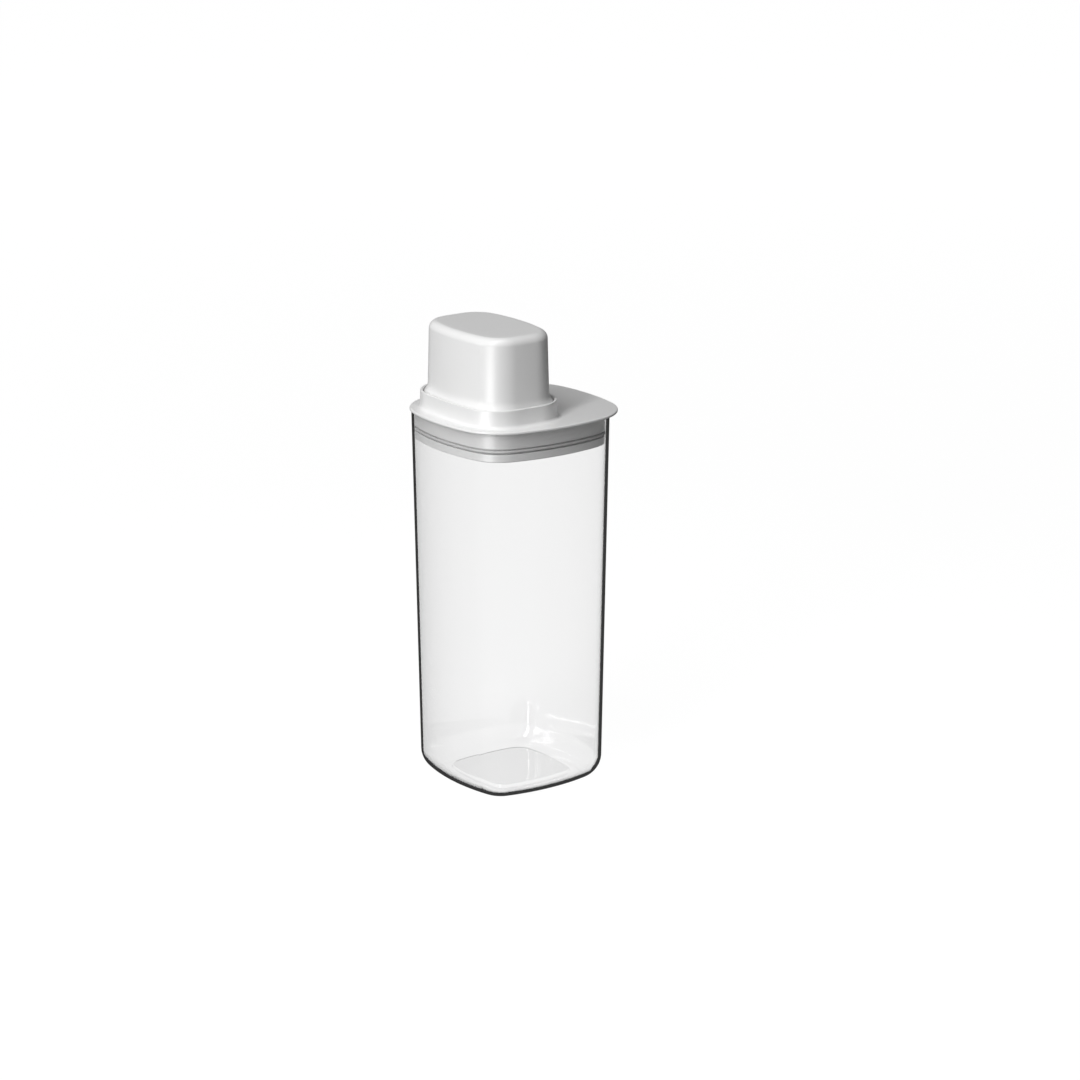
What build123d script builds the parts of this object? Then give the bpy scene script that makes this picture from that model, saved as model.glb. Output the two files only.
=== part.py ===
"""Tall airtight jar for dry food, with a plug lid and a measuring cup that caps the lid's spout.

The origin is the middle of the outer box, on the surface that the jar stands on.
+Z is up, +X is to the right, and the spout is at the front, towards -Y.
All lengths are millimetres and all angles are degrees.
"""
from build123d import *
import os
from dataclasses import dataclass, replace
from math import radians, sqrt, tan

# Jar
jar_height = 229.0
jar_foot_width = 96.46          # between the middles of two opposite sides, at the foot
jar_side_bow = 123.7            # radius of each gently bowed side, at the foot
jar_corner_radius = 20.2        # radius of each upright corner, at the foot
jar_draft = 1.07                # the jar widens upwards by this angle
jar_wall = 2.0
jar_floor = 2.0
jar_foot_round = 14.7           # between the walls and the foot, outside
jar_rim_round = 0.7

# Panel that stands up in the floor, inside
panel_setback = 4.03            # from the round at the foot to the panel's top face
panel_bow = 110.0
panel_corner_radius = 9.0
panel_rise = 2.2                # above the floor
panel_lean = 15.0               # of the panel's edge, from upright
panel_edge_round = 0.35         # at the top and the foot of that edge

# Lid plate, which lies on the jar's rim
plate_thickness = 1.8
plate_overhang = 2.1            # past the rim, at the front and the sides
plate_lip = 4.9                 # further reach of the lifting lip, at the rear
plate_side_bow = 136.8
plate_end_bow = 140.0
plate_corner_radius = 33.3
plate_edge_round = 0.7

# Plug, which hangs from the plate into the jar's mouth
plug_depth = 17.4
plug_clearance = 0.7            # between the plug and the jar's wall
plug_wall = 2.8
plug_edge_round = 0.6
plug_groove_drop = 9.3          # from the plate's underside to the top of the gasket's groove
plug_groove_height = 3.3
plug_groove_depth = 1.6

# Lid gasket, in the plug's groove
gasket_setback = 0.6            # of the gasket's root, inside the plug's face
gasket_lip_height = 1.8
gasket_wall_gap = 0.25          # between the gasket's lip and the jar's wall

# Collar, which stands on the plate around the cup's mouth
collar_length = 86.4
collar_width = 62.2
collar_offset = 15.95           # from the jar's axis to the collar's middle, towards the front
collar_side_bow = 450.0
collar_end_bow = 303.0
collar_corner_radius = 22.6
collar_height = 10.9            # above the plate
collar_wall = 1.6
collar_foot_round = 2.0
collar_rim_round = 0.5

# Ledge inside the collar, and the spout that stands on it
ledge_drop = 2.6                # from the collar's rim down to the ledge
ledge_thickness = 1.6
spout_height = 10.0             # above the ledge
spout_clearance = 0.9           # between the spout and the cup's wall
spout_wall = 1.9
spout_rim_round = 0.6
spout_groove_rise = 4.6         # from the ledge up to the seal's groove
spout_groove_height = 2.4
spout_groove_depth = 0.9

# Cup seal, in the spout's groove
seal_lip_height = 1.2
seal_wall_gap = 0.25            # between the seal's lip and the cup's wall

# Measuring cup, which stands upside down over the spout
cup_height = 44.5
cup_length = 78.4               # across the closed end, before its edge is rounded
cup_width = 52.6
cup_side_bow = 125.9
cup_end_bow = 120.8
cup_corner_radius = 17.9
cup_draft = 1.5                 # the cup narrows upwards by this angle
cup_wall = 1.8
cup_end_round = 5.0             # around the closed end, outside
cup_lip_clearance = 0.8         # between the cup's lip and the collar
cup_lip_height = 1.8
cup_lip_round = 0.5
cup_flare_height = 4.0          # above the lip, where the wall leans out to it
cup_flare_angle = 20.0          # of the leaning wall, from upright

seat_clearance = 0.1            # around a soft ring in its groove

# Heights and places that follow from the sizes above
axis_y = -plate_lip / 2
plate_top = jar_height + plate_thickness
plug_bottom = jar_height - plug_depth
plug_groove_top = jar_height - plug_groove_drop
plug_groove_bottom = plug_groove_top - plug_groove_height
collar_y = axis_y - collar_offset
collar_top = plate_top + collar_height
ledge_top = collar_top - ledge_drop
ledge_bottom = ledge_top - ledge_thickness
spout_top = ledge_top + spout_height
spout_groove_bottom = ledge_top + spout_groove_rise
cup_top = ledge_top + cup_height


@dataclass(frozen=True)
class Outline:
    """Rounded rectangle with bowed sides: eight arcs, each tangent to the next."""

    length: float               # along X
    width: float                # along Y
    side_bow: float             # radius of the sides that face +X and -X
    end_bow: float              # radius of the sides that face +Y and -Y
    corner: float
    centre_y: float

    def grown(self, step):
        """The even offset of this outline, outwards where the step is positive."""
        return replace(
            self,
            length=self.length + 2 * step,
            width=self.width + 2 * step,
            side_bow=self.side_bow + step,
            end_bow=self.end_bow + step,
            corner=self.corner + step,
        )

    def corner_centre(self, side_centre, end_centre):
        """Where a corner arc's centre lies to touch both bowed sides from within."""
        from_side = self.side_bow - self.corner
        from_end = self.end_bow - self.corner
        between = end_centre - side_centre
        span = between.length
        along = (span ** 2 + from_side ** 2 - from_end ** 2) / (2 * span)
        across = sqrt(from_side ** 2 - along ** 2)
        direction = between.normalized()
        square = Vector(-direction.Y, direction.X)
        if square.X + square.Y < 0:
            square = -square
        return side_centre + direction * along + square * across

    def face(self, z):
        """The flat face inside this outline, at height z."""
        half_x = self.length / 2
        half_y = self.width / 2
        side_centre = Vector(half_x - self.side_bow, 0)
        end_centre = Vector(0, half_y - self.end_bow)
        centre = self.corner_centre(side_centre, end_centre)
        on_side = centre + (centre - side_centre).normalized() * self.corner
        on_end = centre + (centre - end_centre).normalized() * self.corner
        halfway = centre + ((on_side + on_end) * 0.5 - centre).normalized() * self.corner

        def mirrored(point, sign_x, sign_y):
            return (point.X * sign_x, point.Y * sign_y)

        arcs = []
        for sign in (1, -1):
            side_ends = mirrored(on_side, sign, -1), mirrored(on_side, sign, 1)
            arcs.append(ThreePointArc(side_ends[0], (sign * half_x, 0), side_ends[1]))
            end_ends = mirrored(on_end, -1, sign), mirrored(on_end, 1, sign)
            arcs.append(ThreePointArc(end_ends[0], (0, sign * half_y), end_ends[1]))
        for sign_x in (1, -1):
            for sign_y in (1, -1):
                points = [mirrored(point, sign_x, sign_y) for point in (on_side, halfway, on_end)]
                arcs.append(ThreePointArc(*points))
        return Pos(0, self.centre_y, z) * make_face(arcs)

    def block(self, bottom, top, draft=0.0):
        """The solid above this outline, narrowing upwards where the draft is positive."""
        return extrude(self.face(bottom), top - bottom, taper=draft)


jar_foot = Outline(jar_foot_width, jar_foot_width, jar_side_bow, jar_side_bow, jar_corner_radius, axis_y)
panel_width = jar_foot_width - 2 * (jar_foot_round + panel_setback)
panel = Outline(panel_width, panel_width, panel_bow, panel_bow, panel_corner_radius, axis_y)
rim_growth = jar_height * tan(radians(jar_draft)) + plate_overhang
plate = Outline(
    jar_foot_width + 2 * rim_growth,
    jar_foot_width + 2 * rim_growth + plate_lip,
    plate_side_bow,
    plate_end_bow,
    plate_corner_radius,
    axis_y + plate_lip / 2,
)
collar = Outline(
    collar_length, collar_width, collar_side_bow, collar_end_bow, collar_corner_radius, collar_y
)
collar_inside = collar.grown(-collar_wall)
cup_end = Outline(cup_length, cup_width, cup_side_bow, cup_end_bow, cup_corner_radius, collar_y)


def jar_inside(z):
    """The jar's inner wall at height z."""
    return jar_foot.grown(z * tan(radians(jar_draft)) - jar_wall)


def plug_face(z):
    """The plug's outer wall at height z."""
    return jar_inside(z).grown(-plug_clearance)


def cup_outside(z):
    """The cup's outer wall at height z."""
    return cup_end.grown((cup_top - z) * tan(radians(cup_draft)))


def cup_inside(z):
    """The cup's inner wall at height z."""
    return cup_outside(z).grown(-cup_wall)


def spout_face(z):
    """The spout's outer wall at height z."""
    return cup_inside(z).grown(-spout_clearance)


def edges_at(shape, z):
    """The level edges of a shape at height z."""
    return shape.edges().filter_by_position(Axis.Z, z - 0.001, z + 0.001)


def ring(outer, inner, bottom, top):
    """The upright ring between two outlines."""
    return outer.block(bottom, top) - inner.block(bottom, top)


def make_jar():
    """Open jar with drafted walls, a deep round at the foot and a raised panel in the floor."""
    outside = jar_foot.block(0, jar_height, -jar_draft)
    outside = fillet(edges_at(outside, 0), jar_foot_round)
    inside = jar_inside(jar_floor).block(jar_floor, jar_height, -jar_draft)
    inside = fillet(edges_at(inside, jar_floor), jar_foot_round - jar_wall)
    panel_top = jar_floor + panel_rise
    panel_foot = panel.grown(panel_rise * tan(radians(panel_lean)))
    raised = panel_foot.block(jar_floor, panel_top, panel_lean)
    inside -= fillet(edges_at(raised, panel_top), panel_edge_round)
    near_panel = panel_foot.grown(panel_edge_round).block(0, panel_top)
    foot = [edge for edge in edges_at(inside, jar_floor) if near_panel.is_inside(edge.center())]
    jar = outside - fillet(foot, panel_edge_round)
    return fillet(edges_at(jar, jar_height), jar_rim_round)


def make_lid():
    """One moulding: plate, plug, collar, ledge and spout."""
    body = plate.block(jar_height, plate_top)
    body = fillet(edges_at(body, plate_top) + edges_at(body, jar_height), plate_edge_round)
    body += collar.block(plate_top, collar_top)
    near_collar = collar.grown(collar_foot_round).block(plate_top - plate_thickness, collar_top)
    foot = [edge for edge in edges_at(body, plate_top) if near_collar.is_inside(edge.center())]
    body = fillet(foot, collar_foot_round)

    plug = plug_face(plug_bottom).block(plug_bottom, jar_height, -jar_draft)
    plug = fillet(edges_at(plug, plug_bottom), plug_edge_round)
    hollow = plug_face(plug_bottom).grown(-plug_wall).block(plug_bottom, jar_height, -jar_draft)
    face = plug_face(plug_groove_bottom)
    groove = ring(
        face.grown(plug_clearance),
        face.grown(-plug_groove_depth),
        plug_groove_bottom,
        plug_groove_top,
    )
    body += plug - hollow - groove

    body -= collar_inside.block(jar_height, ledge_bottom)
    body -= collar_inside.block(ledge_top, collar_top)
    body = fillet(edges_at(body, collar_top), collar_rim_round)
    spout = spout_face(ledge_top).block(ledge_top, spout_top, cup_draft)
    bore_wall = spout_face(ledge_bottom).grown(-spout_wall)
    spout -= bore_wall.block(ledge_bottom, spout_top, cup_draft)
    spout = fillet(edges_at(spout, spout_top), spout_rim_round)
    seat = spout_face(spout_groove_bottom)
    spout -= ring(
        seat.grown(spout_clearance),
        seat.grown(-spout_groove_depth),
        spout_groove_bottom,
        spout_groove_bottom + spout_groove_height,
    )
    return body - bore_wall.block(ledge_bottom, ledge_top, cup_draft) + spout


def make_lid_gasket():
    """Soft ring in the plug's groove, with a lip that meets the jar's wall."""
    face = plug_face(plug_groove_bottom)
    bore = face.grown(seat_clearance - plug_groove_depth)
    root_top = plug_groove_top - seat_clearance
    root = ring(face.grown(-gasket_setback), bore, plug_groove_bottom, root_top)
    lip_bottom = plug_groove_bottom + (plug_groove_height - gasket_lip_height) / 2
    lip_top = lip_bottom + gasket_lip_height
    lip = jar_inside(lip_bottom).grown(-gasket_wall_gap).block(lip_bottom, lip_top)
    lip = fillet(edges_at(lip, lip_bottom) + edges_at(lip, lip_top), gasket_lip_height / 3)
    return root + (lip - bore.block(lip_bottom, lip_top))


def make_cup_seal():
    """Soft ring in the spout's groove, with a lip that meets the cup's wall."""
    top = spout_groove_bottom + spout_groove_height
    bore = spout_face(spout_groove_bottom).grown(seat_clearance - spout_groove_depth)
    root = ring(spout_face(top), bore, spout_groove_bottom, top - seat_clearance)
    lip_bottom = spout_groove_bottom + (spout_groove_height - seal_lip_height) / 2
    lip_top = lip_bottom + seal_lip_height
    lip = cup_inside(lip_top).grown(-seal_wall_gap).block(lip_bottom, lip_top)
    lip = fillet(edges_at(lip, lip_bottom) + edges_at(lip, lip_top), seal_lip_height / 4)
    return root + (lip - bore.block(lip_bottom, lip_top))


def make_measuring_cup():
    """Upturned cup with a round closed end and a lip that rests on the lid's ledge."""
    cup = cup_outside(ledge_top).block(ledge_top, cup_top, cup_draft)
    cup = fillet(edges_at(cup, cup_top), cup_end_round)
    lip = collar_inside.grown(-cup_lip_clearance)
    flare_bottom = ledge_top + cup_lip_height
    foot = lip.block(ledge_top, flare_bottom)
    cup += fillet(edges_at(foot, ledge_top), cup_lip_round)
    cup += lip.block(flare_bottom, flare_bottom + cup_flare_height, cup_flare_angle)
    cavity = cup_inside(ledge_top).block(ledge_top, cup_top - cup_wall, cup_draft)
    cavity = fillet(edges_at(cavity, cup_top - cup_wall), cup_end_round - cup_wall)
    return cup - cavity


nodes = {
    "jar": make_jar(),
    "lid": make_lid(),
    "lid_gasket": make_lid_gasket(),
    "cup_seal": make_cup_seal(),
    "measuring_cup": make_measuring_cup(),
}

os.makedirs("parts", exist_ok=True)
for name, shape in nodes.items():
    export_step(shape, f"parts/{name}.step")
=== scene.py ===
"""Looks of a tall airtight jar for dry food: clear jar, white plug lid and measuring cup, two soft rings.

Lengths are metres and angles are radians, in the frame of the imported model: +Z is up, the spout is at the
front, towards -Y, and the origin is the middle of the outer box's foot.
"""
import logging
from dataclasses import dataclass, replace
from enum import Enum
from math import atan2, ceil, copysign, cos, pi, radians, sin, sqrt, tan
from typing import Callable

import bmesh
import bpy
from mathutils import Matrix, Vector


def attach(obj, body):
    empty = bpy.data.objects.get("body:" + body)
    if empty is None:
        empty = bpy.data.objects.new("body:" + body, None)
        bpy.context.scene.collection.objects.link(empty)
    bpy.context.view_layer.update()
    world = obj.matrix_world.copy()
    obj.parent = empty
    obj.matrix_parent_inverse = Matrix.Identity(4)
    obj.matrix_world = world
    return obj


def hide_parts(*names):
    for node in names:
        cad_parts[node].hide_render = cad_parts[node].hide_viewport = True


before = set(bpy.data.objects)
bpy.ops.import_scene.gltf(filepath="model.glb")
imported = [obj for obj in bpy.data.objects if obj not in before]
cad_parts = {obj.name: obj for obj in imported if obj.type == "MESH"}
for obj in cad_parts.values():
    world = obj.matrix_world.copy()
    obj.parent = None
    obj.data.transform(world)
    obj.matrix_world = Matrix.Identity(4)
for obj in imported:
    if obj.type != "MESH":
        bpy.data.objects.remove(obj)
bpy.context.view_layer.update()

MM = 0.001
# Points nearer than this are joined
MERGE_DISTANCE = MM / 1000
# How far a stretch of wall runs on past its end corner, to meet the next stretch
STUB = 1.0 * MM
SHORT_STUB = 0.5 * MM
# Clearance behind a soft ring and above it, and between its lip and the wall opposite
SEAT = 0.1 * MM
WALL_GAP = 0.25 * MM
# Middles of the jar and of the collar along Y
MIDDLE_Y = -2.45 * MM
COLLAR_Y = MIDDLE_Y - 15.95 * MM
LOG = logging.getLogger("dry_food_jar")

Ring = list[Vector]
Socket = bpy.types.NodeSocket
Value = float | Socket
Corners = list[tuple[Value, Value, Value]]


class Body(Enum):
    """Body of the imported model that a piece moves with."""

    JAR = "jar"
    LID = "lid"
    CUP = "cup"


class Slot(Enum):
    """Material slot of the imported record."""

    CLEAR = "clear_plastic"
    LID = "lid_plastic"
    CUP = "cup_plastic"
    SOFT = "silicone"


class Graph:
    """Adds nodes to one node tree and links them."""

    def __init__(self, tree: bpy.types.NodeTree) -> None:
        """Keeps the tree."""
        self.tree = tree

    def add(
        self, kind: str, values: dict[str | int, object] | None = None, **settings: object
    ) -> bpy.types.Node:
        """Adds a node.

        Args:
            kind: Type of the node, such as ShaderNodeMath.
            values: What each input gets, by name or number: a value, or an output or a node to link.
            settings: Properties of the node.

        Returns:
            The new node.
        """
        node = self.tree.nodes.new(kind)
        for name, setting in settings.items():
            setattr(node, name, setting)
        for key, value in (values or {}).items():
            self.give(node.inputs[key], value)
        return node

    def give(self, socket: Socket, value: object) -> None:
        """Links an output, or a node's first output, to a socket, or sets the socket to a value.

        Args:
            socket: The input that gets it.
            value: The output, the node or the value.
        """
        if isinstance(value, bpy.types.Node):
            value = value.outputs[0]
        if isinstance(value, Socket):
            self.tree.links.new(value, socket)
        else:
            socket.default_value = value

    def math(self, operation: str, first: Value, second: Value = 0.0) -> Socket:
        """Adds a math node of an operation such as MULTIPLY, and gives its output."""
        return self.add("ShaderNodeMath", {0: first, 1: second}, operation=operation).outputs[0]

    def spread(self, value: Socket, low: float, high: float, start: float = 0, stop: float = 1) -> Socket:
        """Maps a value from the range from start to stop to that from low to high."""
        ranges = {"From Min": start, "From Max": stop, "To Min": low, "To Max": high}
        return self.add("ShaderNodeMapRange", {"Value": value, **ranges}).outputs[0]

    def mix(self, factor: Socket, first: object, second: object, kind: str = "FLOAT") -> Socket:
        """Mixes two numbers, or two colours of kind RGBA: the first at factor 0, the second at factor 1."""
        values = {"Factor": factor, "A": first, "B": second}
        return self.add("ShaderNodeMix", values, data_type=kind).outputs["Result"]

    def place(self) -> Socket:
        """Gives the Object coordinates."""
        return self.add("ShaderNodeTexCoord").outputs["Object"]

    def noise(self, size: float, detail: float) -> Socket:
        """Adds a noise from 0 to 1, with forms of a size and as many finer layers as its detail says."""
        values = {"Vector": self.place(), "Scale": 1 / size, "Detail": detail}
        return self.add("ShaderNodeTexNoise", values).outputs["Fac"]


def grey(level: float) -> tuple[float, float, float, float]:
    """An opaque grey of a level."""
    return level, level, level, 1.0


def blank_material(name: str) -> tuple[bpy.types.Material, Graph]:
    """Makes a material without nodes.

    Args:
        name: Its name.

    Returns:
        The material and its graph.
    """
    material = bpy.data.materials.new(name)
    material.use_nodes = True
    material.node_tree.nodes.clear()
    return material, Graph(material.node_tree)


@dataclass(frozen=True)
class Outline:
    """Rounded rectangle with bowed sides, seen from above: eight arcs, each tangent to the next.

    The sides face +X and -X, the ends face +Y and -Y, and the middle is on the Y axis.
    """

    length: float
    width: float
    side_bow: float
    end_bow: float
    corner: float
    centre_y: float
    bow_steps: int = 12
    corner_steps: int = 28

    def grown(self, step: float) -> "Outline":
        """Offsets the outline evenly, outwards where the step is positive."""
        radii = {name: getattr(self, name) + step for name in ("side_bow", "end_bow", "corner")}
        return replace(self, length=self.length + 2 * step, width=self.width + 2 * step, **radii)

    def arc_centres(self) -> tuple[Vector, Vector, Vector]:
        """Finds the centres of the arcs in the +X+Y quarter.

        Returns:
            The centres of the side's arc, the corner's arc and the end's arc.
        """
        side = Vector((self.length / 2 - self.side_bow, 0))
        end = Vector((0, self.width / 2 - self.end_bow))
        from_side = self.side_bow - self.corner
        from_end = self.end_bow - self.corner
        between = end - side
        span = between.length
        along = (span ** 2 + from_side ** 2 - from_end ** 2) / (2 * span)
        across = sqrt(from_side ** 2 - along ** 2)
        direction = between.normalized()
        square = Vector((-direction.y, direction.x))
        if square.x + square.y < 0:
            square = -square
        return side, side + direction * along + square * across, end

    def turns(self) -> tuple[float, float]:
        """Directions from +X at which a quarter's side arc and corner arc end."""
        side, corner, end = self.arc_centres()
        return atan2(corner.y - side.y, corner.x - side.x), atan2(corner.y - end.y, corner.x - end.x)

    def facings(self) -> list[float]:
        """Lists the directions that the wall's points face, once around from +X.

        Returns:
            The directions.
        """
        quarter = (0.0, *self.turns())
        stops = [*quarter, pi / 2, *(pi - turn for turn in reversed(quarter))]
        stops += [pi + turn for turn in stops[1:]]
        facings = []
        for place, (start, stop) in enumerate(zip(stops, stops[1:])):
            steps = self.corner_steps if place % 3 == 1 else self.bow_steps
            facings += [start + (stop - start) * step / steps for step in range(steps)]
        return facings

    def ring(self, level: float) -> Ring:
        """Places points around the outline.

        Args:
            level: Their height.

        Returns:
            The points, counter-clockwise from the middle of the side that faces +X.
        """
        side, corner, end = self.arc_centres()
        side_turn, end_turn = self.turns()
        points = []
        for facing in self.facings():
            ahead, across = abs(cos(facing)), abs(sin(facing))
            turn = atan2(across, ahead)
            if turn < side_turn:
                centre, radius = side, self.side_bow
            elif turn > end_turn:
                centre, radius = end, self.end_bow
            else:
                centre, radius = corner, self.corner
            x = copysign(centre.x + radius * ahead, cos(facing))
            y = copysign(centre.y + radius * across, sin(facing))
            points.append(Vector((x, y + self.centre_y, level)))
        return points


@dataclass(frozen=True)
class Corner:
    """Corner of a wall's section: its reach out of the outline, its height and the round that eases it."""

    reach: float
    level: float
    ease: float = 0.0

    def place(self) -> Vector:
        """Where the corner is in the section."""
        return Vector((self.reach, self.level))


# A round of this radius or more has the broad step between its points, and the others the small one
BROAD_ROUND = 1.5 * MM
BROAD_STEP = radians(6)
SMALL_STEP = radians(18)


def eased(corners: list[Corner]) -> list[Vector]:
    """Draws a section with each corner's round as an arc.

    Args:
        corners: The section's corners, in order. The first and the last have no round.

    Returns:
        Points along the section, as (reach, height).
    """
    points = [corners[0].place()]
    for before, corner, after in zip(corners, corners[1:], corners[2:]):
        here = corner.place()
        if not corner.ease:
            points.append(here)
            continue
        back = (before.place() - here).normalized()
        ahead = (after.place() - here).normalized()
        opening = back.angle(ahead)
        centre = here + (back + ahead).normalized() * corner.ease / sin(opening / 2)
        first = here + back * corner.ease / tan(opening / 2) - centre
        last = here + ahead * corner.ease / tan(opening / 2) - centre
        turn = first.angle_signed(last)
        step = BROAD_STEP if corner.ease >= BROAD_ROUND else SMALL_STEP
        steps = max(2, ceil(abs(turn) / step))
        start = atan2(first.y, first.x)
        for place in range(steps + 1):
            angle = start - turn * place / steps
            points.append(centre + Vector((cos(angle), sin(angle))) * corner.ease)
    points.append(corners[-1].place())
    return points


def course(outline: Outline, corners: list[Corner]) -> list[Ring]:
    """Builds the rings of a stretch of wall that follows one outline.

    Args:
        outline: The outline that reaches are counted from.
        corners: The stretch's corners, in order.

    Returns:
        One ring of points for each point of the eased section.
    """
    return [outline.grown(point.x).ring(point.y) for point in eased(corners)]


def faired(start: Ring, stop: Ring, share: float) -> Ring:
    """Lays a ring between two others.

    Args:
        start: The ring at share 0.
        stop: The ring at share 1.
        share: How near the new ring is to stop.

    Returns:
        The new ring.
    """
    return [first.lerp(last, share) for first, last in zip(start, stop)]


def even_normals(mesh: bpy.types.Mesh) -> None:
    """Shades a mesh smoothly, with the large faces deciding the normals, so that flat walls look flat.

    Args:
        mesh: The mesh, whose corners all have small rounds.
    """
    mesh.shade_smooth()
    normals = [Vector((0, 0, 0)) for _ in mesh.vertices]
    for polygon in mesh.polygons:
        push = polygon.normal * polygon.area
        for vertex in polygon.vertices:
            normals[vertex] += push
    mesh.normals_split_custom_set_from_vertices([normal.normalized() for normal in normals])


def shell(name: str, rings: list[Ring], closed: bool) -> bpy.types.Mesh:
    """Joins rings of points into a closed wall.

    Args:
        name: Name of the mesh.
        rings: The rings, in order, with as many points each.
        closed: True if the last ring meets the first. Otherwise both ends get a flat cap.

    Returns:
        The mesh.
    """
    count = len(rings[0])
    points = [point for ring in rings for point in ring]
    faces = []
    for row in range(len(rings) if closed else len(rings) - 1):
        low, high = row * count, (row + 1) % len(rings) * count
        for place in range(count):
            beside = (place + 1) % count
            faces.append((low + place, low + beside, high + beside, high + place))
    if not closed:
        faces.append(tuple(reversed(range(count))))
        faces.append(tuple(range(len(points) - count, len(points))))
    mesh = bpy.data.meshes.new(name)
    mesh.from_pydata(points, [], faces)
    return mesh


def outwards(mesh: bpy.types.Mesh) -> None:
    """Turns the faces of a closed mesh outwards.

    Args:
        mesh: The mesh to change.
    """
    work = bmesh.new()
    work.from_mesh(mesh)
    bmesh.ops.remove_doubles(work, verts=work.verts, dist=MERGE_DISTANCE)
    bmesh.ops.recalc_face_normals(work, faces=work.faces)
    if work.calc_volume(signed=True) < 0:
        bmesh.ops.reverse_faces(work, faces=work.faces)
    work.to_mesh(mesh)
    work.free()


def dressed(
    mesh: bpy.types.Mesh, material: bpy.types.Material, body: Body, node: str, slot: Slot
) -> bpy.types.Object:
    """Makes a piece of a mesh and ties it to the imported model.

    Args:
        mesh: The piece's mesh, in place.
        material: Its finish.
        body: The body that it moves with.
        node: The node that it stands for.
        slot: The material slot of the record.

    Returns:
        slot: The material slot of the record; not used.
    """
    outwards(mesh)
    even_normals(mesh)
    mesh.materials.clear()
    mesh.materials.append(material)
    piece = bpy.data.objects.new(mesh.name, mesh)
    bpy.context.scene.collection.objects.link(piece)
    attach(piece, body.value)
    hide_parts(node)
    mesh.calc_loop_triangles()
    count = len(mesh.loop_triangles)
    LOG.info("%s rides on %s and stands for %s, %d triangles", piece.name, body.value, node, count)
    return piece


SectionDrawing = Callable[[Graph, dict[str, Socket]], Corners]


@dataclass(frozen=True)
class Sweep:
    """A section that geometry nodes draw from some of a part's sizes and sweep around an outline."""

    name: str
    part: object
    sizes: tuple[str, ...]
    draw: SectionDrawing
    cyclic: bool
    ease_steps: int

    PLACE = "place"

    def tree(self) -> bpy.types.NodeTree:
        """Builds the node tree.

        Returns:
            The tree, with one named input for each size.
        """
        tree = bpy.data.node_groups.new(self.name, "GeometryNodeTree")
        tree.interface.new_socket("Outline", in_out="INPUT", socket_type="NodeSocketGeometry")
        for size in self.sizes:
            tree.interface.new_socket(size, in_out="INPUT", socket_type="NodeSocketFloat")
        tree.interface.new_socket("Finish", in_out="INPUT", socket_type="NodeSocketMaterial")
        tree.interface.new_socket("Swept", in_out="OUTPUT", socket_type="NodeSocketGeometry")
        graph = Graph(tree)
        given = graph.add("NodeGroupInput").outputs
        corners = self.draw(graph, {size: given[size] for size in self.sizes})

        count = len(corners)
        straight = graph.add("GeometryNodeCurvePrimitiveLine")
        evenly = graph.add("GeometryNodeResampleCurve", {"Curve": straight, "Count": count})
        number = graph.add("GeometryNodeInputIndex")
        places = graph.add("GeometryNodeIndexSwitch", {"Index": number}, data_type="VECTOR")
        eases = graph.add("GeometryNodeIndexSwitch", {"Index": number}, data_type="FLOAT")
        for switch in (places, eases):
            for _ in range(count - len(switch.index_switch_items)):
                switch.index_switch_items.new()
        for row, (reach, level, ease) in enumerate(corners):
            graph.give(places.inputs[row + 1], graph.add("ShaderNodeCombineXYZ", {"X": reach, "Y": level}))
            graph.give(eases.inputs[row + 1], ease)
        hung = graph.add("ShaderNodeVectorMath", {0: places, 1: (1, -1, 1)}, operation="MULTIPLY")
        section = graph.add("GeometryNodeSetPosition", {"Geometry": evenly, "Position": hung})
        ended = graph.add("GeometryNodeSetSplineCyclic", {"Geometry": section, "Cyclic": self.cyclic})
        rounding = {"Curve": ended, "Radius": eases, "Count": self.ease_steps}
        rounded = graph.add("GeometryNodeFilletCurve", rounding, mode="POLY")

        loop = graph.add("GeometryNodeMeshToCurve", {0: given["Outline"]})
        upright = graph.add("GeometryNodeSetCurveNormal", {0: loop}, mode="Z_UP")
        swept = graph.add("GeometryNodeCurveToMesh", {"Curve": upright, "Profile Curve": rounded})
        merging = {"Geometry": swept, "Distance": MERGE_DISTANCE}
        merged = graph.add("GeometryNodeMergeByDistance", merging)
        real = graph.add("GeometryNodeRealizeInstances", {"Geometry": merged})
        finishing = {"Geometry": real, "Material": given["Finish"]}
        finished = graph.add("GeometryNodeSetMaterial", finishing)
        graph.add("NodeGroupOutput", {0: finished})
        return tree

    def mesh(self, outline: Outline, material: bpy.types.Material) -> bpy.types.Mesh:
        """Sweeps the section and keeps the result as a plain mesh.

        Args:
            outline: The outline that reaches are counted from.
            material: The finish that the tree sets.

        Returns:
            The mesh. Its PLACE attribute numbers the points around the outline.
        """
        ring = outline.ring(0.0)
        count = len(ring)
        loop = bpy.data.meshes.new(f"{self.name}_outline")
        loop.from_pydata(ring, [(place, (place + 1) % count) for place in range(count)], [])
        loop.attributes.new(self.PLACE, "INT", "POINT").data.foreach_set("value", range(count))
        carrier = bpy.data.objects.new(f"{self.name}_outline", loop)
        bpy.context.scene.collection.objects.link(carrier)
        modifier = carrier.modifiers.new("sweep", "NODES")
        modifier.node_group = self.tree()
        items = modifier.node_group.interface.items_tree
        identifiers = {item.name: item.identifier for item in items if item.in_out == "INPUT"}
        for size in self.sizes:
            modifier[identifiers[size]] = getattr(self.part, size)
        modifier[identifiers["Finish"]] = material
        bpy.context.view_layer.update()
        evaluated = carrier.evaluated_get(bpy.context.evaluated_depsgraph_get())
        mesh = bpy.data.meshes.new_from_object(evaluated)
        carrier.modifiers.clear()
        bpy.data.objects.remove(carrier)
        mesh.name = self.name
        return mesh


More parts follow.
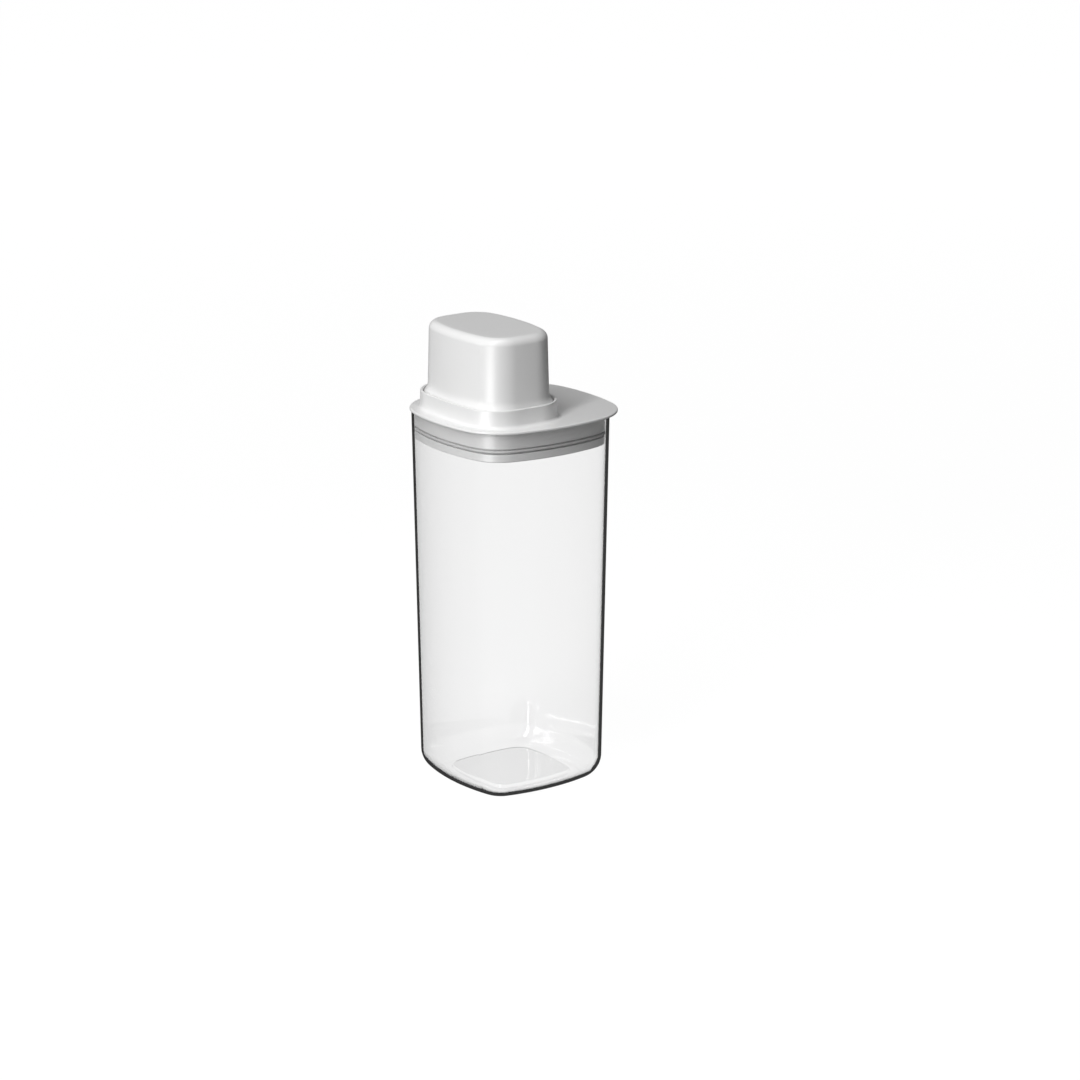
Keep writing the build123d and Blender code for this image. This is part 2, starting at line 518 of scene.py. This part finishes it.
@dataclass(frozen=True)
class WhitePlastic:
    """Satin white moulding with a fine spark-eroded grain."""

    name: str
    shade: float = 0.82
    mottle: float = 0.02
    warmth: float = 0.005
    roughness: float = 0.36
    roughness_spread: float = 0.05
    grain_size: float = 0.35 * MM
    grain_detail: float = 2.0
    grain_depth: float = 0.006 * MM
    cloud_size: float = 18 * MM
    cloud_detail: float = 3.0
    refraction: float = 1.49

    def material(self) -> bpy.types.Material:
        """Builds the material.

        Returns:
            The material, whose patterns lie on Object coordinates.
        """
        material, graph = blank_material(self.name)
        cloud = graph.noise(self.cloud_size, self.cloud_detail)
        grain = graph.noise(self.grain_size, self.grain_detail)
        low, high = self.shade * (1 - self.mottle), self.shade * (1 + self.mottle)
        tone = graph.mix(cloud, (low, low, low * (1 - self.warmth), 1), grey(high), "RGBA")
        bump = graph.add("ShaderNodeBump", {"Height": grain, "Distance": self.grain_depth})
        smooth, dull = self.roughness - self.roughness_spread, self.roughness + self.roughness_spread
        surface = graph.add(
            "ShaderNodeBsdfPrincipled",
            {
                "Base Color": tone,
                "Roughness": graph.spread(grain, smooth, dull),
                "Normal": bump,
                "IOR": self.refraction,
            },
        )
        graph.add("ShaderNodeOutputMaterial", {"Surface": surface})
        return material


@dataclass(frozen=True)
class SoftSilicone:
    """Clouded silicone of the two sealing rings, with a dusty bloom."""

    name: str
    shade: float = 0.64
    shade_dip: float = 0.05
    shade_gain: float = 0.03
    roughness: float = 0.5
    roughness_dip: float = 0.08
    roughness_gain: float = 0.1
    bloom_size: float = 3 * MM
    bloom_detail: float = 4.0
    softness: float = 0.15
    depth: float = 1.5 * MM
    refraction: float = 1.41

    def material(self) -> bpy.types.Material:
        """Builds the material.

        Returns:
            The material, whose patterns lie on Object coordinates.
        """
        material, graph = blank_material(self.name)
        bloom = graph.noise(self.bloom_size, self.bloom_detail)
        low, high = grey(self.shade * (1 - self.shade_dip)), grey(self.shade * (1 + self.shade_gain))
        smooth, dull = self.roughness - self.roughness_dip, self.roughness + self.roughness_gain
        surface = graph.add(
            "ShaderNodeBsdfPrincipled",
            {
                "Base Color": graph.mix(bloom, low, high, "RGBA"),
                "Roughness": graph.spread(bloom, smooth, dull),
                "Subsurface Weight": self.softness,
                "Subsurface Scale": self.depth,
                "Subsurface Radius": (1.0, 1.0, 1.0),
                "IOR": self.refraction,
            },
        )
        graph.add("ShaderNodeOutputMaterial", {"Surface": surface})
        return material


@dataclass(frozen=True)
class ClearPlastic:
    """Polished clear moulding, with the faint waviness that the mould leaves in it."""

    name: str = "clear_polished_plastic"
    tint: float = 0.995
    refraction: float = 1.5
    roughness: float = 0.0
    haze: float = 0.03
    wave_size: float = 22 * MM
    wave_detail: float = 1.0
    wave_depth: float = 0.006 * MM
    lamp_light: float = 0.96
    # Base colour on the panel's top: painted shade that darkens it like shadow beneath the jar
    panel_painted_shade: float = 0.76
    panel_half: float = 31.0 * MM
    panel_level: float = 4.1 * MM

    def painted_shade_on_panel(self, graph: Graph) -> Socket:
        """Finds the top of the base's panel, which gets a painted shade: a darker base colour, like shadow
        beneath the jar.

        Args:
            graph: The tree's graph.

        Returns:
            1 on the panel and 0 elsewhere.
        """
        axes = graph.add("ShaderNodeSeparateXYZ", {"Vector": graph.place()}).outputs
        behind = graph.math("SUBTRACT", axes["Y"], MIDDLE_Y)
        aside = graph.math("MAXIMUM", graph.math("ABSOLUTE", axes["X"]), graph.math("ABSOLUTE", behind))
        within = graph.math("LESS_THAN", aside, self.panel_half)
        return graph.math("MULTIPLY", within, graph.math("GREATER_THAN", axes["Z"], self.panel_level))

    def material(self) -> bpy.types.Material:
        """Builds the material.

        Returns:
            Refractive plastic that lets lamps through it, so that it doesn't black out what stands inside.
        """
        material, graph = blank_material(self.name)
        wave = graph.noise(self.wave_size, self.wave_detail)
        bump = graph.add("ShaderNodeBump", {"Height": wave, "Distance": self.wave_depth})
        surface = graph.add(
            "ShaderNodeBsdfPrincipled",
            {
                # The panel's top gets painted shade, a darker base colour
                "Base Color": graph.spread(self.painted_shade_on_panel(graph), self.tint, self.panel_painted_shade),
                "Roughness": graph.spread(wave, self.roughness, self.haze),
                "IOR": self.refraction,
                "Transmission Weight": 1.0,
                "Normal": bump,
            },
        )
        light = graph.add("ShaderNodeLightPath").outputs
        passing = graph.math("MAXIMUM", light["Is Shadow Ray"], light["Is Diffuse Ray"])
        open_way = graph.add("ShaderNodeBsdfTransparent", {"Color": grey(self.lamp_light)})
        mixed = graph.add("ShaderNodeMixShader", {0: passing, 1: surface, 2: open_way})
        graph.add("ShaderNodeOutputMaterial", {"Surface": mixed})
        return material


@dataclass(frozen=True)
class Jar:
    """Open clear jar with drafted walls, a deep round at the foot and a raised panel in its base.

    The field foot is the outline of the outer wall at its lower end, and panel that of the panel.
    """

    height: float = 229.0 * MM
    foot: Outline = Outline(96.46 * MM, 96.46 * MM, 123.7 * MM, 123.7 * MM, 20.2 * MM, MIDDLE_Y)
    panel: Outline = Outline(59.0 * MM, 59.0 * MM, 110.0 * MM, 110.0 * MM, 9.0 * MM, MIDDLE_Y)
    draft: float = tan(radians(1.07))
    wall: float = 2.0 * MM
    floor: float = 2.0 * MM
    foot_round: float = 14.7 * MM
    rim_round: float = 0.7 * MM
    floor_reach: float = 14.6 * MM
    panel_rise: float = 2.2 * MM
    panel_round: float = 0.35 * MM
    panel_margin: float = 2.0 * MM
    underside_dish: float = 0.01 * MM
    slope_run: float = 4.0 * MM
    slope_lead: float = 3.4 * MM
    slope_round: float = 0.35 * MM
    ease_steps: int = 20

    def inner_reach(self, level: float) -> float:
        """Reach of the inner wall out of the foot's outline, at a height."""
        return level * self.draft - self.wall

    @staticmethod
    def section(graph: Graph, size: dict[str, Socket]) -> Corners:
        """Draws the wall's section: floor, inner wall, rim, outer wall and underside.

        Args:
            graph: The tree's graph.
            size: The tree's named sizes, in their order.

        Returns:
            The corners, as (reach, level, round).
        """
        height, draft, wall, floor, foot_round, rim_round, floor_reach = size.values()
        back = graph.math("MULTIPLY", floor_reach, -1.0)
        rim_lean = graph.math("MULTIPLY", height, draft)
        floor_wall = graph.math("SUBTRACT", graph.math("MULTIPLY", floor, draft), wall)
        rim_wall = graph.math("SUBTRACT", rim_lean, wall)
        return [
            (back, floor, 0.0),
            (floor_wall, floor, graph.math("SUBTRACT", foot_round, wall)),
            (rim_wall, height, rim_round),
            (rim_lean, height, rim_round),
            (0.0, 0.0, foot_round),
            (back, 0.0, 0.0),
        ]

    def build(self, finish: ClearPlastic) -> bpy.types.Object:
        """Builds the jar.

        Args:
            finish: Its finish.

        Returns:
            The jar.
        """
        sizes = "height", "draft", "wall", "floor", "foot_round", "rim_round", "floor_reach"
        sweep = Sweep("clear_jar", self, sizes, self.section, cyclic=False, ease_steps=self.ease_steps)
        material = finish.material()
        mesh = sweep.mesh(self.foot, material)
        self.close_base(mesh)
        return dressed(mesh, material, Body.JAR, "jar", Slot.CLEAR)

    def base_rings(self, level: float, rise: float) -> list[Ring]:
        """Rings of one face of the base, from the foot's round up a gentle slope to the panel.

        Args:
            level: Height of the face beside the foot's round.
            rise: How far the panel stands above that.

        Returns:
            The rings.
        """
        outer = self.foot.grown(-self.floor_reach).ring(0.0)
        inner = self.panel.ring(0.0)
        top = level + rise
        slope = eased([
            Corner(self.slope_run, level),
            Corner(self.slope_run - self.slope_lead, level, self.slope_round),
            Corner(0.0, top, self.panel_round),
            Corner(-self.panel_margin, top),
        ])
        return [
            [place + Vector((0, 0, point.y)) for place in faired(inner, outer, point.x / self.slope_run)]
            for point in slope[1:]
        ]

    def close_base(self, mesh: bpy.types.Mesh) -> None:
        """Closes the swept wall with the two faces of the base.

        Args:
            mesh: The swept wall, open at the floor's top and underside.
        """
        work = bmesh.new()
        work.from_mesh(mesh)
        place = work.verts.layers.int[Sweep.PLACE]
        rims = {vertex for edge in work.edges if edge.is_boundary for vertex in edge.verts}
        edge = sorted(rims, key=lambda vertex: vertex[place])
        top = [vertex for vertex in edge if vertex.co.z > self.floor / 2]
        underside = [vertex for vertex in edge if vertex.co.z < self.floor / 2]
        for last, rings in (
            (top, self.base_rings(self.floor, self.panel_rise)),
            (underside, self.base_rings(0.0, self.underside_dish)),
        ):
            for ring in rings:
                row = [work.verts.new(point) for point in ring]
                for step in range(len(row)):
                    work.faces.new((last[step - 1], last[step], row[step], row[step - 1]))
                last = row
            work.faces.new(last)
        work.to_mesh(mesh)
        work.free()


@dataclass(frozen=True)
class Cup:
    """Measuring cup, which stands upside down over the lid's spout.

    The field end is the outline of the closed end, before its edge is rounded.
    """

    height: float = 44.5 * MM
    end: Outline = Outline(78.4 * MM, 52.6 * MM, 125.9 * MM, 120.8 * MM, 17.9 * MM, COLLAR_Y)
    draft: float = tan(radians(1.5))
    wall: float = 1.8 * MM
    end_round: float = 5.0 * MM
    lip_clearance: float = 0.8 * MM
    lip_height: float = 1.8 * MM
    lip_ease: float = 0.5 * MM
    mouth_ease: float = 0.3 * MM
    flare_height: float = 6.5 * MM
    flare_steps: int = 14
    flare_power: int = 3
    cap_reach: float = 8.0 * MM

    def reach(self, top: float, level: float) -> float:
        """Reach of the outer wall at a height, where the closed end is at top."""
        return (top - level) * self.draft

    def build(self, lid: "Lid", finish: WhitePlastic) -> bpy.types.Object:
        """Builds the cup.

        Args:
            lid: The lid that it stands on.
            finish: Its finish.

        Returns:
            The cup.
        """
        bottom = lid.ledge_top
        top = bottom + self.height
        lip = lid.collar.grown(-lid.collar_wall - self.lip_clearance)
        lip_top = bottom + self.lip_height
        flare_top = lip_top + self.flare_height
        rings = course(self.end, [
            Corner(-self.cap_reach, top),
            Corner(0.0, top, self.end_round),
            Corner(self.reach(top, flare_top), flare_top),
        ])
        for step in range(1, self.flare_steps):
            down = step / self.flare_steps
            level = flare_top - down * self.flare_height
            wall = self.end.grown(self.reach(top, level)).ring(level)
            rings.append(faired(wall, lip.ring(level), down ** self.flare_power))
        rings += course(lip, [
            Corner(0.0, lip_top),
            Corner(0.0, bottom, self.lip_ease),
            Corner(-STUB, bottom),
        ])
        inner = self.reach(top, bottom) - self.wall
        ceiling = top - self.wall
        rings += course(self.end, [
            Corner(inner + SHORT_STUB, bottom),
            Corner(inner, bottom, self.mouth_ease),
            Corner(self.reach(top, ceiling) - self.wall, ceiling, self.end_round - self.wall),
            Corner(-self.cap_reach, ceiling),
        ])
        mesh = shell("white_measuring_cup", rings, closed=False)
        return dressed(mesh, finish.material(), Body.CUP, "measuring_cup", Slot.CUP)


@dataclass(frozen=True)
class Lid:
    """Plug lid in one moulding: plate, plug, collar, ledge and spout.

    The field collar is the outline of the collar's outer wall.
    """

    jar: Jar
    cup: Cup
    plate_thickness: float = 1.8 * MM
    plate_overhang: float = 2.1 * MM
    plate_lip: float = 4.9 * MM
    plate_side_bow: float = 136.8 * MM
    plate_end_bow: float = 140.0 * MM
    plate_corner: float = 33.3 * MM
    plate_edge_round: float = 0.7 * MM
    plug_depth: float = 17.4 * MM
    plug_clearance: float = 0.7 * MM
    plug_wall: float = 2.8 * MM
    plug_edge_round: float = 0.6 * MM
    plug_groove_drop: float = 9.3 * MM
    plug_groove_height: float = 3.3 * MM
    plug_groove_depth: float = 1.6 * MM
    collar: Outline = Outline(86.4 * MM, 62.2 * MM, 450.0 * MM, 303.0 * MM, 22.6 * MM, COLLAR_Y)
    collar_height: float = 10.9 * MM
    collar_wall: float = 1.6 * MM
    collar_foot_round: float = 2.0 * MM
    collar_rim_round: float = 0.5 * MM
    crease_depth: float = 0.12 * MM
    crease_width: float = 0.5 * MM
    ledge_drop: float = 2.6 * MM
    ledge_thickness: float = 1.6 * MM
    spout_height: float = 10.0 * MM
    spout_clearance: float = 0.9 * MM
    spout_wall: float = 1.9 * MM
    spout_rim_round: float = 0.6 * MM
    spout_groove_rise: float = 4.6 * MM
    spout_groove_height: float = 2.4 * MM
    spout_groove_depth: float = 0.9 * MM
    ease: float = 0.25 * MM
    groove_ease: float = 0.15 * MM

    @property
    def plate_top(self) -> float:
        """Height of the plate's upper face."""
        return self.jar.height + self.plate_thickness

    @property
    def collar_top(self) -> float:
        """Height of the collar's rim."""
        return self.plate_top + self.collar_height

    @property
    def ledge_top(self) -> float:
        """Height of the ledge that the cup stands on."""
        return self.collar_top - self.ledge_drop

    @property
    def plug_groove(self) -> tuple[float, float]:
        """Heights of the bottom and the top of the gasket's groove."""
        top = self.jar.height - self.plug_groove_drop
        return top - self.plug_groove_height, top

    @property
    def spout_groove(self) -> tuple[float, float]:
        """Heights of the bottom and the top of the seal's groove."""
        bottom = self.ledge_top + self.spout_groove_rise
        return bottom, bottom + self.spout_groove_height

    @property
    def plate(self) -> Outline:
        """Outline of the plate."""
        rim = self.jar.foot.length + 2 * (self.jar.height * self.jar.draft + self.plate_overhang)
        length = rim + self.plate_lip
        centre = MIDDLE_Y + self.plate_lip / 2
        return Outline(rim, length, self.plate_side_bow, self.plate_end_bow, self.plate_corner, centre)

    def plug_reach(self, level: float) -> float:
        """Reach of the plug's outer wall out of the jar's foot, at a height."""
        return self.jar.inner_reach(level) - self.plug_clearance

    def spout_reach(self, level: float) -> float:
        """Reach of the spout's outer wall out of the cup's closed end, at a height."""
        cup_wall = self.cup.reach(self.ledge_top + self.cup.height, level) - self.cup.wall
        return cup_wall - self.spout_clearance

    def groove(
        self, reach: Callable[[float], float], span: tuple[float, float], depth: float
    ) -> list[Corner]:
        """Draws a groove in an outer wall, from its top down.

        Args:
            reach: Gives the wall's reach at a height.
            span: Heights of the groove's bottom and top.
            depth: How deep it is at its bottom.

        Returns:
            The groove's corners.
        """
        bottom, top = span
        back = reach(bottom) - depth
        places = (reach(top), top), (back, top), (back, bottom), (reach(bottom), bottom)
        return [Corner(*place, self.groove_ease) for place in places]

    def spout_rings(self) -> list[Ring]:
        """Builds the spout, from its bore's lower edge over its rim to the ledge.

        Returns:
            Its rings.
        """
        reach = self.spout_reach
        ledge_bottom = self.ledge_top - self.ledge_thickness
        spout_top = self.ledge_top + self.spout_height
        bore = reach(ledge_bottom) - self.spout_wall
        return course(self.cup.end, [
            Corner(bore + STUB, ledge_bottom),
            Corner(bore, ledge_bottom, self.ease),
            Corner(reach(spout_top) - self.spout_wall, spout_top, self.spout_rim_round),
            Corner(reach(spout_top), spout_top, self.spout_rim_round),
            *self.groove(reach, self.spout_groove, self.spout_groove_depth),
            Corner(reach(self.ledge_top), self.ledge_top, self.ease),
            Corner(reach(self.ledge_top) + STUB, self.ledge_top),
        ])

    def collar_rings(self) -> list[Ring]:
        """Builds the collar, from the ledge over its rim to the plate, with a crease around its foot.

        Returns:
            Its rings.
        """
        foot = self.collar_foot_round
        crease = self.crease_width
        ease = crease / 4
        return course(self.collar, [
            Corner(-self.collar_wall - STUB, self.ledge_top),
            Corner(-self.collar_wall, self.ledge_top, self.ease),
            Corner(-self.collar_wall, self.collar_top, self.collar_rim_round),
            Corner(0.0, self.collar_top, self.collar_rim_round),
            Corner(0.0, self.plate_top, foot),
            Corner(foot + crease, self.plate_top, ease),
            Corner(foot + 1.5 * crease, self.plate_top - self.crease_depth, ease),
            Corner(foot + 2 * crease, self.plate_top, ease),
            Corner(foot + 3 * crease, self.plate_top),
        ])

    def plate_rings(self) -> list[Ring]:
        """Rings of the plate's edge."""
        inside = -2 * self.plate_edge_round
        return course(self.plate, [
            Corner(inside, self.plate_top),
            Corner(0.0, self.plate_top, self.plate_edge_round),
            Corner(0.0, self.jar.height, self.plate_edge_round),
            Corner(inside, self.jar.height),
        ])

    def plug_rings(self) -> list[Ring]:
        """Builds the plug, from the plate down its outer wall and up its inner wall.

        Returns:
            Its rings.
        """
        reach = self.plug_reach
        top = self.jar.height
        bottom = top - self.plug_depth
        return course(self.jar.foot, [
            Corner(reach(top) + STUB, top),
            Corner(reach(top), top, self.ease),
            *self.groove(reach, self.plug_groove, self.plug_groove_depth),
            Corner(reach(bottom), bottom, self.plug_edge_round),
            Corner(reach(bottom) - self.plug_wall, bottom, self.plug_edge_round),
            Corner(reach(top) - self.plug_wall, top, self.ease),
            Corner(reach(top) - self.plug_wall - SHORT_STUB, top),
        ])

    def well_rings(self) -> list[Ring]:
        """Rings of the space under the ledge, from the plate's underside up to the ledge's."""
        ledge_bottom = self.ledge_top - self.ledge_thickness
        return course(self.collar, [
            Corner(-self.collar_wall + SHORT_STUB, self.jar.height),
            Corner(-self.collar_wall, self.jar.height, self.ease),
            Corner(-self.collar_wall, ledge_bottom, self.ease),
            Corner(-self.collar_wall - STUB, ledge_bottom),
        ])

    def build(self, finish: WhitePlastic) -> bpy.types.Object:
        """Builds the lid.

        Args:
            finish: Its finish.

        Returns:
            The lid.
        """
        rings = self.spout_rings() + self.collar_rings() + self.plate_rings()
        rings += self.plug_rings() + self.well_rings()
        mesh = shell("white_plug_lid", rings, closed=True)
        return dressed(mesh, finish.material(), Body.LID, "lid", Slot.LID)


@dataclass(frozen=True)
class SoftRing:
    """Sealing ring in a groove: a root that fills the groove and a lip that meets the wall opposite."""

    name: str
    node: str
    bore: float
    root: float
    lip: float
    bottom: float
    height: float
    lip_height: float
    lip_round: float
    ease_steps: int = 4

    # Round of the other edges, as a share of the lip's
    EDGE_SHARE = 0.4

    @staticmethod
    def section(graph: Graph, size: dict[str, Socket]) -> Corners:
        """Draws the ring's section.

        Args:
            graph: The tree's graph.
            size: The tree's named sizes, in their order.

        Returns:
            The corners, as (reach, level, round).
        """
        bore, root, lip, bottom, height, lip_height, lip_round = size.values()
        top = graph.math("ADD", bottom, height)
        spare = graph.math("SUBTRACT", height, lip_height)
        lip_bottom = graph.math("ADD", bottom, graph.math("MULTIPLY", spare, 0.5))
        lip_top = graph.math("ADD", lip_bottom, lip_height)
        edge = graph.math("MULTIPLY", lip_round, SoftRing.EDGE_SHARE)
        return [
            (bore, bottom, edge),
            (root, bottom, edge),
            (root, lip_bottom, edge),
            (lip, lip_bottom, lip_round),
            (lip, lip_top, lip_round),
            (root, lip_top, edge),
            (root, top, edge),
            (bore, top, edge),
        ]

    def build(self, outline: Outline, finish: SoftSilicone) -> bpy.types.Object:
        """Builds the ring.

        Args:
            outline: The outline that its reaches are counted from.
            finish: Its finish.

        Returns:
            The ring.
        """
        sizes = "bore", "root", "lip", "bottom", "height", "lip_height", "lip_round"
        sweep = Sweep(self.name, self, sizes, self.section, cyclic=True, ease_steps=self.ease_steps)
        material = finish.material()
        mesh = sweep.mesh(outline, material)
        return dressed(mesh, material, Body.LID, self.node, Slot.SOFT)


def lid_gasket(lid: Lid) -> SoftRing:
    """Sizes the ring in the plug's groove.

    Args:
        lid: The lid that holds it.

    Returns:
        The ring's sizes.
    """
    bottom, top = lid.plug_groove
    face = lid.plug_reach(bottom)
    setback = 1.35 * MM
    lip_height = 1.5 * MM
    lip_bottom = bottom + (top - bottom - lip_height) / 2
    return SoftRing(
        name="silicone_lid_gasket",
        node="lid_gasket",
        bore=face - lid.plug_groove_depth + SEAT,
        root=face - setback,
        lip=lid.jar.inner_reach(lip_bottom) - WALL_GAP,
        bottom=bottom,
        height=top - bottom - SEAT,
        lip_height=lip_height,
        lip_round=0.6 * MM,
    )


def cup_seal(lid: Lid) -> SoftRing:
    """Sizes the ring in the spout's groove.

    Args:
        lid: The lid that holds it.

    Returns:
        The ring's sizes.
    """
    bottom, top = lid.spout_groove
    lip_height = 1.2 * MM
    lip_top = bottom + (top - bottom + lip_height) / 2
    return SoftRing(
        name="silicone_cup_seal",
        node="cup_seal",
        bore=lid.spout_reach(bottom) - lid.spout_groove_depth + SEAT,
        root=lid.spout_reach(top),
        lip=lid.spout_reach(lip_top) + lid.spout_clearance - WALL_GAP,
        bottom=bottom,
        height=top - bottom - SEAT,
        lip_height=lip_height,
        lip_round=0.3 * MM,
    )


@dataclass(frozen=True)
class Softbox:
    """Soft rectangular lamp that faces the object."""

    name: str
    distance: float
    azimuth: float
    elevation: float
    width: float
    height: float
    power: float

    def build(self, aim: Vector) -> bpy.types.Object:
        """Builds the lamp.

        Args:
            aim: The point that it faces.

        Returns:
            The lamp's object.
        """
        lamp = bpy.data.lights.new(self.name, "AREA")
        lamp.shape = "RECTANGLE"
        lamp.size, lamp.size_y = self.width, self.height
        lamp.energy = self.power
        return aimed(self.name, lamp, aim, (self.azimuth, self.elevation), self.distance)


def aimed(
    name: str, data: bpy.types.ID, aim: Vector, angles: tuple[float, float], distance: float
) -> bpy.types.Object:
    """Places a lamp or a camera so that it faces a point.

    Args:
        name: Name of the object.
        data: The lamp or the camera.
        aim: The point.
        angles: Its azimuth from the point, which is 0 at the front and grows towards +X, and its elevation.
        distance: How far away it is.

    Returns:
        The new object.
    """
    azimuth, elevation = angles
    way = Vector((sin(azimuth) * cos(elevation), -cos(azimuth) * cos(elevation), sin(elevation)))
    holder = bpy.data.objects.new(name, data)
    holder.location = aim + way * distance
    holder.rotation_euler = way.to_track_quat("Z", "Y").to_euler()
    bpy.context.scene.collection.objects.link(holder)
    return holder


@dataclass(frozen=True)
class Studio:
    """White sweep, a tall key lamp, a fill at its left, a lamp overhead, a low card and the camera."""

    camera_distance: float = 2.2155
    camera_azimuth: float = 0.95176
    camera_elevation: float = 0.28169
    camera_aim: tuple[float, float, float] = (0.016544, 0.007614, 0.150622)
    lens: float = 122.835
    sensor: float = 36.0
    key: Softbox = Softbox("key_softbox", 2.4, radians(26), radians(37), 0.35, 3.2, 47.0)
    fill: Softbox = Softbox("fill_softbox", 2.4, radians(-15), radians(15), 1.2, 1.2, 14.5)
    top: Softbox = Softbox("top_softbox", 2.0, radians(60), radians(75), 0.8, 0.8, 8.6)
    card: Softbox = Softbox("low_card", 0.55, radians(20), radians(-6), 0.26, 0.18, 2.1)
    ambient: float = 0.128
    room_outside: float = 0.04
    room_inside: float = 0.8
    floor_radius: float = 6.0
    floor_segments: int = 96
    floor_level: float = 0.05 * MM
    floor_glow: float = 0.93
    floor_far_glow: float = 0.975
    floor_near: float = 0.7
    floor_far: float = 2.2
    floor_shade: float = 0.3
    floor_seen_shade: float = 0.12

    # Halfway between no bounce and one
    NO_BOUNCE = 0.5
    # Halfway between three refractions and the fourth, with which a ray has crossed two walls
    TWO_WALLS = 3.5

    def build(self, glossed: list[bpy.types.Object]) -> None:
        """Builds the floor, the surroundings, the lamps and the camera.

        Args:
            glossed: The pieces whose rounds pick up the low card.
        """
        self.add_floor()
        self.add_surroundings()
        aim = Vector(self.camera_aim)
        for lamp in (self.key, self.fill, self.top):
            lamp.build(aim)
        self.add_card(glossed)
        camera = bpy.data.cameras.new("camera")
        camera.lens = self.lens
        camera.sensor_width = self.sensor
        angles = self.camera_azimuth, self.camera_elevation
        bpy.context.scene.camera = aimed("camera", camera, aim, angles, self.camera_distance)

    def rays(self, graph: Graph) -> tuple[Socket, Socket, Socket]:
        """Tells apart the rays that meet the surroundings.

        Args:
            graph: The tree's graph.

        Returns:
            1 for rays from the camera, straight or through clear walls, then the brightness that others
            find, dim but pale for those from inside the jar, and then 1 for rays that light a surface.
        """
        light = graph.add("ShaderNodeLightPath").outputs
        unreflected = graph.math("LESS_THAN", light["Glossy Depth"], self.NO_BOUNCE)
        undimmed = graph.math("LESS_THAN", light["Diffuse Depth"], self.NO_BOUNCE)
        inside = graph.math("GREATER_THAN", light["Transmission Depth"], self.TWO_WALLS)
        level = graph.spread(inside, self.room_outside, self.room_inside)
        return graph.math("MULTIPLY", unreflected, undimmed), level, light["Is Diffuse Ray"]

    def seen_glow(self, graph: Graph) -> Socket:
        """Makes the floor glow a little more to the eye further out, where the lamps fade."""
        away = graph.add("ShaderNodeVectorMath", {0: graph.place()}, operation="LENGTH").outputs["Value"]
        return graph.spread(away, self.floor_glow, self.floor_far_glow, self.floor_near, self.floor_far)

    def add_floor(self) -> None:
        """Adds a round floor, white to the eye, which keeps the object's soft shadow."""
        mesh = bpy.data.meshes.new("studio_floor")
        work = bmesh.new()
        bmesh.ops.create_circle(work, cap_ends=True, segments=self.floor_segments, radius=self.floor_radius)
        bmesh.ops.translate(work, verts=work.verts, vec=(0, 0, self.floor_level))
        work.to_mesh(mesh)
        work.free()
        material, graph = blank_material("studio_floor")
        material.cycles.emission_sampling = "NONE"
        plain, unseen, lighting = self.rays(graph)
        lit = graph.add("ShaderNodeEmission", {"Strength": graph.mix(plain, unseen, self.seen_glow(graph))})
        seen_shade = graph.math("MULTIPLY", plain, self.floor_seen_shade)
        seen_paint = graph.add("ShaderNodeBsdfDiffuse", {"Color": seen_shade})
        seen = graph.add("ShaderNodeAddShader", {0: seen_paint, 1: lit})
        paint = graph.add("ShaderNodeBsdfDiffuse", {"Color": grey(self.floor_shade)})
        surface = graph.add("ShaderNodeMixShader", {0: lighting, 1: seen, 2: paint})
        graph.add("ShaderNodeOutputMaterial", {"Surface": surface})
        mesh.materials.append(material)
        floor = bpy.data.objects.new("studio_floor", mesh)
        bpy.context.scene.collection.objects.link(floor)

    def add_surroundings(self) -> None:
        """Adds the world: white to the eye, soft light for the object, plain walls in its reflections."""
        world = bpy.data.worlds.new("studio")
        world.use_nodes = True
        world.node_tree.nodes.clear()
        world.cycles.sampling_method = "NONE"
        graph = Graph(world.node_tree)
        plain, unseen, lighting = self.rays(graph)
        level = graph.mix(plain, graph.mix(lighting, unseen, self.ambient), 1.0)
        graph.add("ShaderNodeOutputWorld", {"Surface": graph.add("ShaderNodeBackground", {"Color": level})})
        bpy.context.scene.world = world

    def add_card(self, glossed: list[bpy.types.Object]) -> None:
        """Adds the low bright card at the front left, which only reflections in some pieces see.

        Args:
            glossed: The pieces that reflect it.
        """
        card = self.card.build(Vector(self.camera_aim))
        card.visible_camera = False
        card.visible_diffuse = False
        card.visible_transmission = False
        receivers = bpy.data.collections.new("card_receivers")
        for piece in glossed:
            receivers.objects.link(piece)
        card.light_linking.receiver_collection = receivers


def main() -> None:
    """Builds the pieces in order, then the studio."""
    logging.basicConfig(level=logging.INFO, format="%(name)s: %(message)s")
    bpy.context.scene.view_settings.view_transform = "Standard"
    jar = Jar()
    cup = Cup()
    lid = Lid(jar, cup)
    jar.build(ClearPlastic())
    white_lid = lid.build(WhitePlastic("satin_lid_plastic"))
    lid_gasket(lid).build(jar.foot, SoftSilicone("clouded_gasket_silicone"))
    cup_seal(lid).build(cup.end, SoftSilicone("clouded_seal_silicone"))
    white_cup = cup.build(lid, WhitePlastic("satin_cup_plastic"))
    Studio().build([white_lid, white_cup])


if __name__ == "__main__":
    main()
